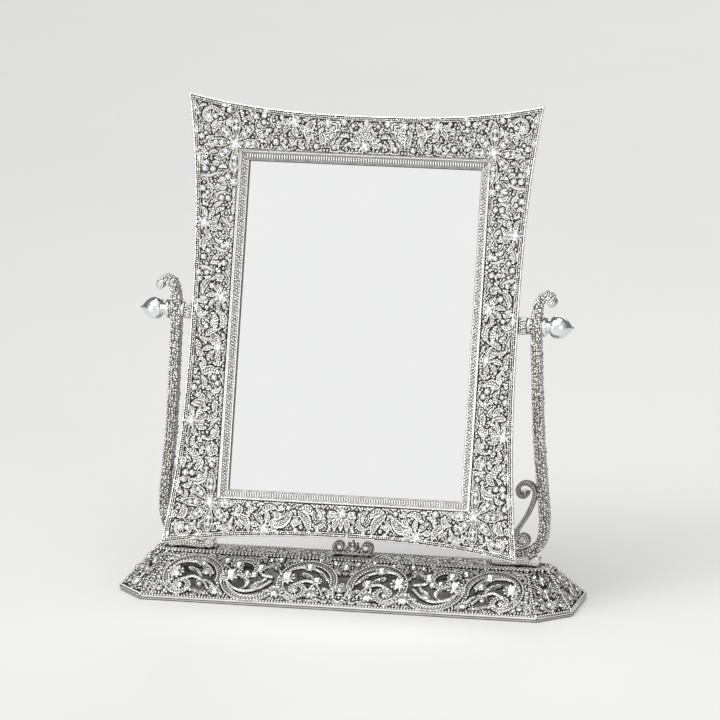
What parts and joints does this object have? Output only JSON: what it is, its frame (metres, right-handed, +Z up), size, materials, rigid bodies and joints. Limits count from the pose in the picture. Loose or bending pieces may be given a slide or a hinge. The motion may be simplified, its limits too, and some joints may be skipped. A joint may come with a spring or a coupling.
{
  "type": "tilting table mirror",
  "caption": "Free-standing tilting vanity mirror: pierced jewelled frame with bowed edges, held between two scrolled posts on a low pierced base.",
  "frame": {"origin": "centre of the base's underside, on the table", "axes": "+X to the viewer's right, +Y away from the viewer, +Z up"},
  "size_m": [0.356, 0.119, 0.3826],
  "materials": {
    "antique_silver": "bright silver plating on a fine casting, dark oxide left in the recesses",
    "plain_silver": "satin silver plating",
    "knob_chrome": "polished chrome plating",
    "steel": "nickel plated steel",
    "steel_sheet": "satin steel sheet",
    "mirror_glass": "silvered float glass",
    "back_plate": "satin plate with fine wear",
    "backing_board": "grey board",
    "felt": "pressed felt",
    "crystal": "cut clear crystal, foiled behind"
  },
  "bodies": {
    "stand": {"base_casting": "antique_silver", "base_bottom_sheet": "steel_sheet", "base_felt": "felt", "crest": "antique_silver", "crest_screw": "steel", "post_left": "antique_silver", "post_right": "antique_silver", "post_screw_left": "steel", "post_screw_right": "steel", "scroll_bracket_left": "plain_silver", "scroll_bracket_right": "plain_silver", "knob_washer_left": "steel", "knob_washer_right": "steel", "base_screw_1": "steel", "base_screw_2": "steel", "base_screw_3": "steel", "base_screw_4": "steel"},
    "mirror": {"mirror_frame": "antique_silver", "glass_moulding": "antique_silver", "mirror_glass": "mirror_glass", "backing_board": "backing_board", "back_plate": "back_plate", "pivot_lug_left": "steel", "pivot_lug_right": "steel", "pivot_stud_left": "steel", "pivot_stud_right": "steel", "collar_left": "antique_silver", "collar_right": "antique_silver", "collar_washer_left": "steel", "collar_washer_right": "steel", "back_screw_1": "steel", "back_screw_2": "steel", "back_screw_3": "steel", "back_screw_4": "steel", "back_screw_5": "steel", "back_screw_6": "steel", "back_screw_7": "steel", "back_screw_8": "steel"},
    "knob_left": {"knob_left": "knob_chrome"},
    "knob_right": {"knob_right": "knob_chrome"}
  },
  "joints": [
    {"name": "mirror_tilt", "type": "hinge", "parent": "stand", "child": "mirror", "pos_m": [0, 0, 0.2174], "axis": [-1, 0, 0], "range_deg": [-11, 60]},
    {"name": "knob_left_turn", "type": "hinge", "parent": "mirror", "child": "knob_left", "pos_m": [-0.158, 0, 0.2174], "axis": [-1, 0, 0], "range_deg": [0, 720]},
    {"name": "knob_right_turn", "type": "hinge", "parent": "mirror", "child": "knob_right", "pos_m": [0.158, 0, 0.2174], "axis": [1, 0, 0], "range_deg": [0, 720]}
  ]
}
